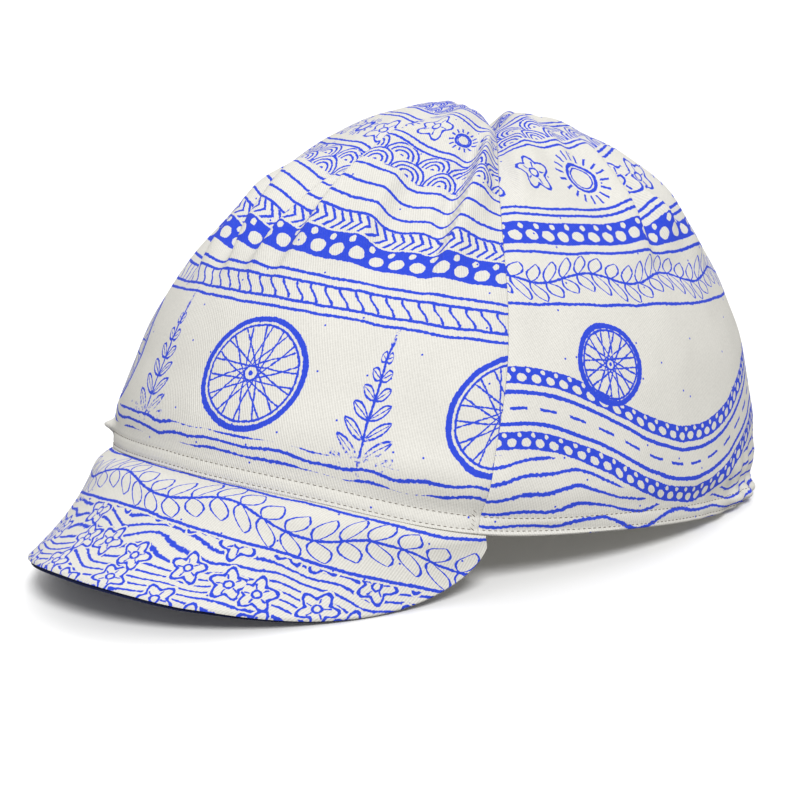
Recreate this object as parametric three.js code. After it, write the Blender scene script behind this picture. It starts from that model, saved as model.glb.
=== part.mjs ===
// A soft cycling cap: three crown panels sewn together at the apex, and a short arched peak.
// Millimetres and degrees. The cap is shaped in its own frame first: the rim's centre is the origin,
// the peak points to -Y, the wearer's left is +X and the crown rises to +Z. It is then tipped back
// until the peak's edge and the back of the rim stand on one surface, as the cap lies by itself.

import * as THREE from 'three';

// Rim: an oval whose edge dips over the ears. Heights are given every 30 degrees from the front.
const RIM_HALF_LENGTH = 100;
const RIM_HALF_WIDTH = 82.9;
const RIM_CHEEK = 0.03;
const RIM_HEIGHTS = [
  { angle: 0, height: 0 },
  { angle: 30, height: -2 },
  { angle: 60, height: -7.5 },
  { angle: 90, height: -6.2 },
  { angle: 120, height: -4.6 },
  { angle: 150, height: 0 },
  { angle: 180, height: 3.5 },
];

// Crown: each meridian is a quarter of a superellipse from the rim to the apex.
const CROWN_HEIGHT = 105.9;
const CROWN_POWER = 1.99;
const APEX_BACK = 8.3;
const APEX_BACK_POWER = 1.2;
const MERIDIAN_LENGTH = 150;

// Cloth.
const CLOTH = 1.3;
const HEM_CLOTH = 2.4;
const HEM_HEIGHT = 7;
const SEAM_GAP = 0.3;
const FRONT_SEAM_ANGLE = 60;
const BACK_SEAM_ANGLE = 180;

// The hem is drawn in, most at the elastic back, and the cloth blouses a little over it.
const HEM_TUCK_FRONT = 0.4;
const HEM_TUCK_BACK = 1.6;

// Valleys where the panels are sewn together near the apex, and the dimple where they meet.
const SEAM_VALLEY_DEPTH = 2.2;
const SEAM_VALLEY_WIDTH = 7;
const APEX_DIMPLE_DEPTH = 9.5;
const APEX_DIMPLE_RADIUS = 12;

// Broad swellings of the cloth. Level is 0 at the rim and 1 at the apex.
const SWELLINGS = [
  { angle: 5, level: 0.92, angleSpread: 58, levelSpread: 0.065, height: 1.8 },
  { angle: 145, level: 0.94, angleSpread: 60, levelSpread: 0.06, height: -1.4 },
  { angle: -145, level: 0.94, angleSpread: 60, levelSpread: 0.06, height: -1.4 },
  { angle: 145, level: 0.7, angleSpread: 45, levelSpread: 0.13, height: -2.2 },
  { angle: -145, level: 0.7, angleSpread: 45, levelSpread: 0.13, height: -2.2 },
  { angle: 138, level: 0.02, angleSpread: 40, levelSpread: 0.2, height: 3.1 },
  { angle: -138, level: 0.02, angleSpread: 40, levelSpread: 0.2, height: 3.1 },
  { angle: 138, level: 0.5, angleSpread: 45, levelSpread: 0.2, height: 0.8 },
  { angle: -138, level: 0.5, angleSpread: 45, levelSpread: 0.2, height: 0.8 },
  { angle: 45, level: 0.5, angleSpread: 40, levelSpread: 0.2, height: -1.9 },
  { angle: -45, level: 0.5, angleSpread: 40, levelSpread: 0.2, height: -1.9 },
  { angle: -33, level: 0.42, angleSpread: 24, levelSpread: 0.12, height: -3.1 },
  { angle: -33, level: 0.13, angleSpread: 24, levelSpread: 0.08, height: -1.1 },
  { angle: 139, level: 0.45, angleSpread: 22, levelSpread: 0.05, height: -0.8 },
  { angle: 139, level: 0.27, angleSpread: 25, levelSpread: 0.07, height: 0.7 },
  { angle: 0, level: 0, angleSpread: 65, levelSpread: 0.3, height: 1.2 },
  { angle: -32, level: 0.05, angleSpread: 6, levelSpread: 0.02, height: 3 },
  { angle: 54, level: 0.085, angleSpread: 14, levelSpread: 0.03, height: 1.5 },
  { angle: 127, level: 0.02, angleSpread: 10, levelSpread: 0.03, height: 1.8 },
  { angle: -127, level: 0.02, angleSpread: 10, levelSpread: 0.03, height: 1.8 },
];

// Soft creases, each a ridge line down a panel. Its two flanks fall off over the widths given,
// left and right as someone sees them who looks at the panel from outside. A height below 0 is a
// valley, and "all" crosses the apex from panel to panel. The others die out at the seams.
const SEAM_FREE_WIDTH = 6;
const CREASES = [
  { panel: 'all', from: [60, 0.86], to: [-129, 0.8], height: -4.4, leftFlank: 5, rightFlank: 6 },
  { panel: 'front', from: [-40, 0.54], to: [-31, 0.31], height: 1.8, leftFlank: 3.5, rightFlank: 8 },
  { panel: 'front', from: [-25, 0.58], to: [-15, 0.34], height: 2.4, leftFlank: 3.2, rightFlank: 8 },
  { panel: 'front', from: [-13, 0.62], to: [-3, 0.36], height: 2.9, leftFlank: 3.2, rightFlank: 9 },
  { panel: 'front', from: [10.5, 0.6], to: [5, 0.36], height: 2.9, leftFlank: 3.2, rightFlank: 8 },
  { panel: 'front', from: [22, 0.79], to: [13.5, 0.37], height: 3.2, leftFlank: 3.2, rightFlank: 9 },
  { panel: 'front', from: [28, 0.62], to: [27.5, 0.38], height: 2, leftFlank: 8, rightFlank: 4 },
  { panel: 'front', from: [57.5, 0.8], to: [46.5, 0.4], height: 4, leftFlank: 3, rightFlank: 8 },
  { panel: 'left', from: [96, 0.8], to: [98.5, 0.47], height: 2.6, leftFlank: 7, rightFlank: 3.2 },
  { panel: 'left', from: [108, 0.66], to: [125, 0.44], height: 2.8, leftFlank: 8, rightFlank: 3.4 },
  { panel: 'left', from: [118, 0.76], to: [132, 0.52], height: 2, leftFlank: 7, rightFlank: 3.6 },
  { panel: 'left', from: [150, 0.78], to: [154, 0.5], height: 2, leftFlank: 4, rightFlank: 9 },
  { panel: 'right', from: [-82, 0.84], to: [-88, 0.6], height: 1.8, leftFlank: 8, rightFlank: 4 },
  { panel: 'right', from: [-98, 0.74], to: [-110, 0.48], height: 3, leftFlank: 3.4, rightFlank: 9 },
  { panel: 'right', from: [-108, 0.6], to: [-126, 0.45], height: 2.4, leftFlank: 3.4, rightFlank: 8 },
  { panel: 'right', from: [-128, 0.74], to: [-136, 0.5], height: 2.2, leftFlank: 4, rightFlank: 9 },
  { panel: 'right', from: [-152, 0.8], to: [-158, 0.5], height: 2.2, leftFlank: 9, rightFlank: 4 },
];

// Peak: its root follows the rim between the front seams; slope is below the horizontal.
const PEAK_HALF_ANGLE = 61.5;
const PEAK_LENGTH = 42.8;
const PEAK_OUTLINE_POWER = 1.9;
const PEAK_OUTLINE_ROUND = 0.6;
const PEAK_CORNER = 0.99;
const PEAK_FAN_ANGLE = 14.5;
const PEAK_SIDE_SLOPE = 64;
const PEAK_SLOPES = [
  { reach: 0, slope: 5 },
  { reach: 0.12, slope: 26 },
  { reach: 0.24, slope: 60 },
  { reach: 0.45, slope: 50 },
  { reach: 1, slope: 30 },
];
const PEAK_TOP_CLOTH = 1.3;
const PEAK_UNDERSIDE_CLOTH = 1.2;
const PEAK_UNDERSIDE_INSET = 0.2;
const LAYER_GAP = 0.3;

// Rest: the tip that brings the peak's edge level with the back rim, and how much the cloth
// flattens where it bears on the surface.
const REST_TIP = 11.1;
const REST_FLATTENING = 1.4;

// Facets.
const PANEL_COLUMNS = 28;
const PANEL_ROWS = 22;
const PANEL_TOP_LEVEL = 0.988;
const PEAK_COLUMNS = 26;
const PEAK_ROWS = 7;
const STEP = 1e-3;

const COTTON = { color: 0xefece3, roughness: 0.95, metalness: 0 };
const NAVY_COTTON = { color: 0x23284a, roughness: 0.95, metalness: 0 };

const radians = THREE.MathUtils.degToRad;
const smooth = THREE.MathUtils.smoothstep;
const bell = (offset) => Math.exp(-offset * offset);

function wrapped(angle) {
  return THREE.MathUtils.euclideanModulo(angle + 180, 360) - 180;
}

const rimHeights = new THREE.SplineCurve(
  RIM_HEIGHTS.map((row) => new THREE.Vector2(row.angle, row.height)),
);

function rimPoint(angle) {
  const turn = radians(angle);
  return new THREE.Vector3(
    RIM_HALF_WIDTH * Math.sin(turn) * (1 + RIM_CHEEK * Math.cos(turn) ** 2),
    -RIM_HALF_LENGTH * Math.cos(turn),
    rimHeights.getPoint(Math.abs(wrapped(angle)) / 180).y,
  );
}

function crownForm(angle, level) {
  const climb = radians(90 * level);
  const reach = Math.cos(climb) ** (2 / CROWN_POWER);
  const rise = Math.sin(climb) ** (2 / CROWN_POWER);
  const rim = rimPoint(angle);
  return new THREE.Vector3(
    rim.x * reach,
    rim.y * reach + APEX_BACK * rise ** APEX_BACK_POWER,
    rim.z * (1 - rise) + CROWN_HEIGHT * rise,
  );
}

function normalOf(surface, angle, level) {
  const around = surface(angle + STEP, level).sub(surface(angle - STEP, level));
  const low = Math.max(level - STEP, 0);
  const up = surface(angle, level + STEP).sub(surface(angle, low));
  return around.cross(up).normalize();
}

// Height of a crease at a point: signed distance across its line, faded out at both ends.
function creaseHeight(crease, point) {
  const start = crownForm(...crease.from);
  const end = crownForm(...crease.to);
  const along = end.clone().sub(start);
  const middleNormal = normalOf(crownForm, crease.from[0], (crease.from[1] + crease.to[1]) / 2);
  const across = along.clone().cross(middleNormal).normalize();
  const offset = point.clone().sub(start);
  const travel = offset.dot(along) / along.lengthSq();
  const side = offset.dot(across);
  const ends = smooth(travel, -0.1, 0.25) * (1 - smooth(travel, 0.75, 1.15));
  const spread = side < 0 ? crease.rightFlank : crease.leftFlank;
  return crease.height * ends * bell(side / spread);
}

function seamDistance(level, point) {
  const seams = [FRONT_SEAM_ANGLE, -FRONT_SEAM_ANGLE, BACK_SEAM_ANGLE];
  return Math.min(...seams.map((seam) => point.distanceTo(crownForm(seam, level))));
}

function hemTuck(angle, level) {
  const back = (1 - Math.cos(radians(angle))) / 2;
  const tuck = HEM_TUCK_FRONT + (HEM_TUCK_BACK - HEM_TUCK_FRONT) * back ** 2;
  const hemLevel = HEM_HEIGHT / MERIDIAN_LENGTH;
  return -tuck * (1 - smooth(level, hemLevel * 0.8, hemLevel * 2));
}

function reliefAt(panel, angle, level, point) {
  const apex = crownForm(0, 1);
  let height = -APEX_DIMPLE_DEPTH * bell(point.distanceTo(apex) / APEX_DIMPLE_RADIUS);
  const seamGap = seamDistance(level, point);
  height -= SEAM_VALLEY_DEPTH * smooth(level, 0.5, 0.85) * bell(seamGap / SEAM_VALLEY_WIDTH);
  height += hemTuck(angle, level);
  for (const swelling of SWELLINGS) {
    const turn = wrapped(angle - swelling.angle) / swelling.angleSpread;
    height += swelling.height * bell(turn) * bell((level - swelling.level) / swelling.levelSpread);
  }
  for (const crease of CREASES) {
    const own = crease.panel === panel ? smooth(seamGap, 0, SEAM_FREE_WIDTH) : 0;
    height += creaseHeight(crease, point) * (crease.panel === 'all' ? 1 : own);
  }
  return height;
}

function clothSurface(panel) {
  return (angle, level) => {
    const point = crownForm(angle, level);
    const height = reliefAt(panel, angle, level, point);
    return point.addScaledVector(normalOf(crownForm, angle, level), height);
  };
}

function clothThickness(level) {
  const hemLevel = HEM_HEIGHT / MERIDIAN_LENGTH;
  return level < hemLevel * 1.01 ? HEM_CLOTH : CLOTH;
}

// A closed wall between two grids of the same size, outer[row][column] and inner[row][column].
// Columns run to the left as seen from the outer side when rows run up.
function wallBetween(outer, inner) {
  const rows = outer.length;
  const columns = outer[0].length;
  const positions = [...outer.flat(), ...inner.flat()].flatMap((point) => point.toArray());
  const innerStart = rows * columns;
  const at = (row, column, start) => start + row * columns + column;
  const index = [];
  const quad = (a, b, c, d) => index.push(a, b, c, a, c, d);
  for (let row = 0; row < rows - 1; row += 1) {
    for (let column = 0; column < columns - 1; column += 1) {
      const corners = [[row, column], [row, column + 1], [row + 1, column + 1], [row + 1, column]];
      quad(...corners.map((corner) => at(...corner, 0)));
      quad(...corners.reverse().map((corner) => at(...corner, innerStart)));
    }
  }
  const border = [];
  for (let column = 0; column < columns - 1; column += 1) border.push([0, column]);
  for (let row = 0; row < rows - 1; row += 1) border.push([row, columns - 1]);
  for (let column = columns - 1; column > 0; column -= 1) border.push([rows - 1, column]);
  for (let row = rows - 1; row > 0; row -= 1) border.push([row, 0]);
  border.forEach((corner, place) => {
    const next = border[(place + 1) % border.length];
    quad(at(...next, 0), at(...corner, 0), at(...corner, innerStart), at(...next, innerStart));
  });
  const geometry = new THREE.BufferGeometry();
  geometry.setAttribute('position', new THREE.Float32BufferAttribute(positions, 3));
  geometry.setIndex(index);
  return geometry;
}

// Rows of a panel: two at the hem, so that its step shows, then even steps up to the apex.
function panelLevels() {
  const hemLevel = HEM_HEIGHT / MERIDIAN_LENGTH;
  const levels = [0, hemLevel, hemLevel * 1.25];
  const first = levels[levels.length - 1];
  const steps = PANEL_ROWS - levels.length + 1;
  for (let step = 1; step <= steps; step += 1) {
    levels.push(first + (PANEL_TOP_LEVEL - first) * (step / steps));
  }
  return levels;
}

function panelGeometry(panel, fromAngle, toAngle) {
  const surface = clothSurface(panel);
  const outer = [];
  const inner = [];
  for (const level of panelLevels()) {
    const radius = RIM_HALF_WIDTH * Math.cos(radians(90 * level));
    const inset = THREE.MathUtils.radToDeg(SEAM_GAP / 2 / radius);
    const outerRow = [];
    const innerRow = [];
    for (let column = 0; column <= PANEL_COLUMNS; column += 1) {
      const share = column / PANEL_COLUMNS;
      const angle = THREE.MathUtils.lerp(fromAngle + inset, toAngle - inset, share);
      const point = surface(angle, level);
      const normal = normalOf(surface, angle, level);
      outerRow.push(point);
      innerRow.push(point.clone().addScaledVector(normal, -clothThickness(level)));
    }
    outer.push(outerRow);
    inner.push(innerRow);
  }
  return wallBetween(outer, inner);
}

function peakSlopeAt(reach) {
  const next = PEAK_SLOPES.findIndex((row) => row.reach >= reach && row.reach > 0);
  const low = PEAK_SLOPES[next - 1];
  const high = PEAK_SLOPES[next];
  return THREE.MathUtils.mapLinear(reach, low.reach, high.reach, low.slope, high.slope);
}

// One fore-and-aft line of the peak, from just under the hem out to its edge. Side runs -1 to 1.
function peakLine(side, inset) {
  const corner = Math.abs(side * PEAK_CORNER) ** PEAK_OUTLINE_POWER;
  const length = PEAK_LENGTH * (1 - corner) ** PEAK_OUTLINE_ROUND - inset;
  const heading = radians(side * PEAK_FAN_ANGLE);
  const outward = new THREE.Vector3(Math.sin(heading), -Math.cos(heading), 0);
  const point = clothSurface('front')(side * PEAK_HALF_ANGLE, 0);
  point.z -= LAYER_GAP;
  const line = [point.clone()];
  for (let row = 1; row <= PEAK_ROWS; row += 1) {
    const slope = radians(peakSlopeAt((row - 0.5) / PEAK_ROWS) + PEAK_SIDE_SLOPE * side ** 2);
    const step = length / PEAK_ROWS;
    point.addScaledVector(outward, step * Math.cos(slope));
    point.z -= step * Math.sin(slope);
    line.push(point.clone());
  }
  return line;
}

function gridNormal(grid, row, column) {
  const rowBelow = Math.max(row - 1, 0);
  const rowAbove = Math.min(row + 1, grid.length - 1);
  const columnBefore = Math.max(column - 1, 0);
  const columnAfter = Math.min(column + 1, grid[0].length - 1);
  const outward = grid[rowAbove][column].clone().sub(grid[rowBelow][column]);
  const sideways = grid[row][columnAfter].clone().sub(grid[row][columnBefore]);
  return outward.cross(sideways).normalize();
}

// A layer of the peak, from one depth below its upper surface to a greater depth.
function peakLayer(upperDepth, lowerDepth, inset) {
  const lines = [];
  for (let column = 0; column <= PEAK_COLUMNS; column += 1) {
    lines.push(peakLine(Math.sin(Math.PI * (column / PEAK_COLUMNS - 0.5)), inset));
  }
  const surface = lines[0].map((_, row) => lines.map((line) => line[row]));
  const sunk = (depth) => surface.map((rowPoints, row) => rowPoints.map((point, column) => (
    point.clone().addScaledVector(gridNormal(surface, row, column), -depth)
  )));
  return wallBetween(sunk(lowerDepth), sunk(upperDepth));
}

const material = (settings) => new THREE.MeshStandardMaterial(settings);

const pieces = [
  ['front_panel', panelGeometry('front', -FRONT_SEAM_ANGLE, FRONT_SEAM_ANGLE), COTTON],
  ['left_panel', panelGeometry('left', FRONT_SEAM_ANGLE, BACK_SEAM_ANGLE), COTTON],
  ['right_panel', panelGeometry('right', -BACK_SEAM_ANGLE, -FRONT_SEAM_ANGLE), COTTON],
  ['peak_top', peakLayer(0, PEAK_TOP_CLOTH, 0), COTTON],
  ['peak_underside', peakLayer(PEAK_TOP_CLOTH + LAYER_GAP,
    PEAK_TOP_CLOTH + LAYER_GAP + PEAK_UNDERSIDE_CLOTH, PEAK_UNDERSIDE_INSET), NAVY_COTTON],
];

// Tip the cap back, centre it over the origin, and press it onto the surface at Z 0.
function restOnSurface(geometries) {
  const bounds = new THREE.Box3();
  for (const geometry of geometries) {
    geometry.rotateX(-radians(REST_TIP));
    geometry.computeBoundingBox();
    bounds.union(geometry.boundingBox);
  }
  const middle = bounds.getCenter(new THREE.Vector3());
  for (const geometry of geometries) {
    geometry.translate(-middle.x, -middle.y, -bounds.min.z - REST_FLATTENING);
    const position = geometry.getAttribute('position');
    for (let place = 0; place < position.count; place += 1) {
      position.setZ(place, Math.max(position.getZ(place), 0));
    }
  }
}

restOnSurface(pieces.map(([, geometry]) => geometry));

const cap = new THREE.Group();
for (const [name, geometry, settings] of pieces) {
  const mesh = new THREE.Mesh(geometry, material(settings));
  mesh.name = name;
  cap.add(mesh);
}

export default cap;
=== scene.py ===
"""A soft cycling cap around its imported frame: three printed crown panels, a peak and stitching."""

import math
from collections import namedtuple
from functools import reduce

import bmesh
import bpy
import numpy as np
from mathutils import Matrix, Vector, noise


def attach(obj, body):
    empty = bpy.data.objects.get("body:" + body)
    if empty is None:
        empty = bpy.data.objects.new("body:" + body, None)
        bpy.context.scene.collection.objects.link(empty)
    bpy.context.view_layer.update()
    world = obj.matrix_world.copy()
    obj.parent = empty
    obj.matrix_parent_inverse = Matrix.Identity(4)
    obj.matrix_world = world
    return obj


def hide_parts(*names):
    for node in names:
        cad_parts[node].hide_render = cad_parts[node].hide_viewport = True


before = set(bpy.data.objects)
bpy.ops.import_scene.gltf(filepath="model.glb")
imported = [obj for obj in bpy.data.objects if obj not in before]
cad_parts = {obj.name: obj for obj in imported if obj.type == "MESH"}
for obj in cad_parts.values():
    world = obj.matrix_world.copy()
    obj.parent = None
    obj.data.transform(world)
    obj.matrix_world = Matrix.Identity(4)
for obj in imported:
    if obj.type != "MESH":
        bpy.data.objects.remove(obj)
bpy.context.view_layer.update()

bl_info = {
    "name": "Cycling cap",
    "version": (1, 0, 0),
    "blender": (4, 5, 0),
    "location": "3D View > Sidebar > Cap",
    "description": "Dresses a packed cycling cap: printed twill panels, peak, stitching and stage",
    "category": "Mesh",
}

MM = 0.001
FULL_TURN = 2 * math.pi

# Rim and crown, in mm and degrees in the cap's own frame: the rim's centre is the origin, the peak
# points to -Y and the wearer's left is +X. Level is 0 at the rim and 1 at the apex.
RIM_HALF_LENGTH = 100
RIM_HALF_WIDTH = 82.9
RIM_CHEEK = 0.03
RIM_HEIGHTS = (0, -2, -7.5, -6.2, -4.6, 0, 3.5)
RIM_STEP = 30
CROWN_HEIGHT = 105.9
CROWN_POWER = 1.99
APEX_BACK = 8.3
APEX_BACK_POWER = 1.2
RIM_CLIMB = CROWN_HEIGHT * math.pi / 2
TOP_LEVEL = 0.997
FORM_STEP = 1e-3

# How the cap lies: tipped back, with its rim's centre here, on a surface at Z 0.
REST_TIP = 11.1
RIM_CENTRE = (0, 15.93, 15.62)

# Seams, in degrees, levels and mm: where the panels meet, how they wander, the turned-in edge of
# each, the valleys near the apex and the dimple and puckers there. The most inset is in radians.
FRONT_SEAM = 60
BACK_SEAM = 180
Drift = namedtuple("Drift", "level spread degrees")
SEAM_DRIFT = (Drift(0.26, 0.2, 2.1), Drift(0.64, 0.16, -1.3))
SEAM_GAP = 0.05
SEAM_INSET_MOST = 0.2
SEAM_ROLL = 0.35
SEAM_SINK = 0.35
SEAM_SINK_WIDTH = 2.2
SEAM_RIDGE = 0.35
SEAM_RIDGE_AT = 4
SEAM_RIDGE_LEVELS = (0.1, 0.5)
SEAM_VALLEY_DEPTH = 4.2
SEAM_VALLEY_WIDTH = 6
SEAM_VALLEY_LEVELS = (0.5, 0.85)
APEX_DIMPLE_DEPTH = 8.5
APEX_DIMPLE_RADIUS = 11
APEX_PUCKERS = 14
APEX_PUCKER_HEIGHT = 0.4
APEX_PUCKER_AT = 13
APEX_PUCKER_WIDTH = 9
APEX_PUCKER_SWAY = 55
APEX_PUCKER_SWAYS = 3

# Hem, in mm, levels and degrees: stitched at two heights above its edge, drawn in and gathered by
# elastic at the back. Its tuck runs out over these shares of the hem's height.
HEM_TUCK_FRONT = 0.8
HEM_TUCK_BACK = 2.2
HEM_TUCK_RUN = (0.7, 1.7)
HEM_ROLL = 0.5
STITCH_HEIGHTS = (1.2, 4.6)
STITCH_SINK = 0.2
STITCH_SINK_WIDTH = 0.6
STITCH_LIFT = 0.35
STITCH_ROW_INSET = 0.8
STITCH_ROW_STEPS = 2000
STITCH_UP = 0.004
GATHER_FROM = 96
GATHER_FULL = 150
GATHER_DEGREES = 5.2
GATHER_HEIGHT = 0.8
GATHER_LEVELS = (0.039, 0.13)
Sway = namedtuple("Sway", "degrees rate phase")
GATHER_SWAYS = (Sway(1.6, 7.3, 0), Sway(0.9, 17.1, 40))

# The slanting stitches at the foot of each front seam: how many, the lowest one's height and the
# rise to the next in mm, and the places of each one's start, its stop and a spot above it.
FOOT_STITCHES = 5
FOOT_STITCH_LOW = 0.8
FOOT_STITCH_RISE = 1.15
Spot = namedtuple("Spot", "degrees_in rise")
FOOT_STITCH = (Spot(0.3, 0), Spot(1.15, 0.9), Spot(0.8, 1.4))

# Broad swellings of the cloth, in degrees, levels and mm.
Swelling = namedtuple("Swelling", "angle level angle_spread level_spread height")
SWELLINGS = [Swelling(*row) for row in (
    (5, 0.92, 58, 0.065, 1.8),
    (145, 0.94, 60, 0.06, -1.4),
    (-145, 0.94, 60, 0.06, -1.4),
    (145, 0.7, 45, 0.13, -2.2),
    (-145, 0.7, 45, 0.13, -2.2),
    (-33, 0.42, 24, 0.12, -3.1),
    (-33, 0.13, 24, 0.08, -1.1),
    (139, 0.45, 22, 0.05, -0.8),
    (139, 0.27, 25, 0.07, 0.7),
    (139, 0.09, 14, 0.03, -0.9),
    (138, 0.02, 40, 0.2, 3.1),
    (-138, 0.02, 40, 0.2, 3.1),
    (138, 0.5, 45, 0.2, 0.8),
    (-138, 0.5, 45, 0.2, 0.8),
    (45, 0.5, 40, 0.2, -1.9),
    (-45, 0.5, 40, 0.2, -1.9),
    (0, 0, 65, 0.3, 1.2),
    (8, 0.1, 34, 0.045, 0.9),
    (-32, 0.036, 3, 0.009, 3.2),
    (-40, 0.06, 12, 0.03, 0.7),
    (54, 0.085, 14, 0.03, 1.5),
    (57, 0.028, 16, 0.016, -1.1),
    (70, 0.008, 12, 0.012, -1.5),
    (104, 0.43, 9, 0.022, -1.2),
    (127, 0.018, 9, 0.013, 3.2),
    (-127, 0.018, 9, 0.013, 3.2),
    (158, 0.03, 9, 0.018, 2),
    (-160, 0.03, 10, 0.018, 2.2),
)]

# Folds down the panels: a ridge from start to end, each an (angle, level), with the widths of its
# two flanks in mm as seen from outside. A height below 0 is a groove. "all" crosses the apex.
Fold = namedtuple("Fold", "panel start end height left right")
FOLDS = [Fold(*row) for row in (
    ("all", (60, 0.86), (-129, 0.8), -5.5, 2.6, 4),
    ("front", (-40, 0.54), (-31, 0.31), 2.5, 2.4, 7),
    ("front", (-25, 0.58), (-15, 0.34), 3.5, 2.2, 7),
    ("front", (-13, 0.62), (-3, 0.36), 4.1, 2.2, 8),
    ("front", (10.5, 0.6), (5, 0.36), 4.1, 2.2, 6),
    ("front", (22, 0.79), (13.5, 0.37), 4.5, 2.2, 8),
    ("front", (28, 0.62), (27.5, 0.38), 3, 7, 3),
    ("front", (57.5, 0.8), (46.5, 0.4), 4.2, 1.6, 6),
    ("front", (36, 0.88), (33, 0.7), 2, 3, 5),
    ("left", (60, 0.76), (66, 0.58), 2, 2.2, 4),
    ("left", (66, 0.8), (72, 0.62), 1.8, 2.4, 5),
    ("left", (78, 0.86), (84, 0.66), 2, 4, 3),
    ("left", (96, 0.8), (98.5, 0.47), 3.8, 6, 2),
    ("left", (103, 0.72), (111, 0.5), 3.8, 4.5, 2),
    ("left", (108, 0.56), (125, 0.44), 3.5, 6, 2.2),
    ("left", (118, 0.76), (132, 0.52), 2.8, 5, 2.4),
    ("left", (150, 0.78), (154, 0.5), 2.8, 3, 8),
    ("right", (-64, 0.8), (-68, 0.58), 2.2, 4, 3),
    ("right", (-82, 0.84), (-88, 0.6), 2.5, 6, 3),
    ("right", (-98, 0.74), (-110, 0.48), 4.1, 2.4, 8),
    ("right", (-108, 0.6), (-126, 0.45), 3.2, 2.4, 6),
    ("right", (-128, 0.74), (-136, 0.5), 3, 3, 8),
    ("right", (-152, 0.8), (-158, 0.5), 3, 8, 3),
)]

# Shares of a fold's length over which it rises and dies away, the shallow valley beside it, in
# widths of its steeper flank, the mm beside a seam where it dies out, and the share of its height by
# which it draws the print along.
FOLD_RISES = (-0.15, 0.3)
FOLD_DIES = (0.65, 1.2)
VALLEY_SHARE = 0.4
VALLEY_AT = 2.6
VALLEY_WIDTH = 1.6
SEAM_FREE_WIDTH = 6
PRINT_SHIFT = {"front": 0.35, "left": 0.3, "right": 0.3}

# Small wrinkles all over, in mm, and where they begin above the hem and round the apex.
Wrinkle = namedtuple("Wrinkle", "wavelength height")
WRINKLES = (Wrinkle(26, 0.5), Wrinkle(11, 0.22), Wrinkle(5, 0.07))
WRINKLE_LEVELS = (0.02, 0.12)
WRINKLE_APEX_GAPS = (2, 12)

# Peak, in mm and degrees: its root follows the rim, and its slopes are below the horizontal at
# shares of its length. Wrinkles grow in up to the calm reach.
PEAK_HALF_ANGLE = 61.5
PEAK_LENGTH = 43.2
PEAK_OUTLINE_POWER = 1.9
PEAK_OUTLINE_ROUND = 0.6
PEAK_CORNER = 0.99
PEAK_FAN_ANGLE = 14.5
PEAK_SIDE_SLOPE = 64
Slope = namedtuple("Slope", "reach degrees")
PEAK_SLOPES = (Slope(0, 5), Slope(0.12, 26), Slope(0.24, 60), Slope(0.45, 50), Slope(1, 30))
PEAK_EDGE_ROLL = 0.6
PEAK_ROOT_SWELL = 1.2
PEAK_ROOT_SPREAD = 65
PEAK_ROOT_LIFT = 0.2
PEAK_TONGUE = 1.4
PEAK_TONGUE_POWER = 8
PEAK_SLOPE_STEPS = 96
PEAK_CALM_REACH = 0.3
LAYER_GAP = 0.08

# Mesh counts, how far columns crowd towards the seams, and the degrees past which an edge is sharp.
PANEL_COLUMNS = 250
PANEL_ROWS = 168
HEM_ROWS_SHARE = 0.16
HEM_ZONE = 10
COLUMN_CROWDING = 0.5
PEAK_COLUMNS = 220
PEAK_ROWS = 60
SHARP_ANGLE = 62

# The flat cloth, where the print is laid out: mm in one unit of its UV map, the steps that lengths
# are summed in, and how far the cloth is evened out towards its width at the rim.
PLAN_SCALE = 100
PLAN_STEPS = 16
PLAN_LINE_STEPS = 200
PLAN_EVEN = 0.4

# Twill, in mm: its ribs lean by these shares of the way across and up. The real ribs are about
# 0.6 mm apart, and are drawn at 0.7 mm so that they show. Noise scales are features in a mm.
TWILL_LEAN = (0.9, 0.44)
TWILL_RIB = 0.7
TWILL_CROSSING = 0.8
TWILL_CROSSING_SHARE = 0.15
SLUB_SCALE = 1.1
BLOTCH_SCALE = 0.06
# Painted shade: the twill's ribs are darker in their grooves and lighter on their crests by this
# share. Slubs and blotches are the cotton's own uneven tone.
RIB_PAINTED_SHADE = 0.075
SLUB_SHADE = 0.2
BLOTCH_SHADE = 0.08
RIB_RISE = 0.6
SLUB_RISE = 0.8
CLOTH_BUMP = 0.14

# Ink, in mm: how far its strokes wander, how ragged and how soft their edges are, the share that
# thick yarns thin it by, and its specks. Noise scales are features in a mm.
INK_WANDER = 1.3
INK_WANDER_SCALE = 0.07
INK_RAGGED = 0.6
INK_RAGGED_SCALE = 1.0
INK_EDGE = 0.08
INK_THIN = 0.05
SPECK_SCALE = 0.07
SPECK_RADIUS = 0.3

# Thread and paper, by scales on object coordinates in metres: a twist of the thread every 0.35 mm,
# with painted shade in its grooves down to this share of its colour, and the paper's tooth of 2.5
# mm.
TWIST_SCALE = 900.0
TWIST_PAINTED_SHADE = 0.75
TOOTH_SCALE = 400.0

# Camera at the photograph's angle. Lengths in metres.
CAMERA_AZIMUTH = 48.98
CAMERA_ELEVATION = 14.41
CAMERA_ROLL = -3.1
CAMERA_DISTANCE = 0.7728
CAMERA_AIM = (-0.00928, 0.0118, 0.0323)
CAMERA_LENS = 117

# Studio floor, in metres: flat out to its bend, which is made in steps of 10 degrees. Vertices that
# lie closer than the last value are merged.
FLOOR_FLAT = 3
FLOOR_BEND = 3
FLOOR_BEND_DEGREES = range(0, 81, 10)
FLOOR_SIDES = 96
FLOOR_MERGE = 1e-5

# Lights: two wide suns, by their azimuth, elevation and width in degrees, and the studio all round.
Light = namedtuple("Light", "name azimuth elevation width strength")
SUNS = (Light("soft key", 58, 42, 20, 2.6), Light("back fill", 228, 38, 60, 1.0))
WORLD_BELOW = 0.34
WORLD_OVERHEAD = 0.62

Panel = namedtuple("Panel", "name node start end")
PANELS = (
    Panel("front", "front_panel", -FRONT_SEAM, FRONT_SEAM),
    Panel("left", "left_panel", FRONT_SEAM, BACK_SEAM),
    Panel("right", "right_panel", -BACK_SEAM, -FRONT_SEAM),
)


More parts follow.
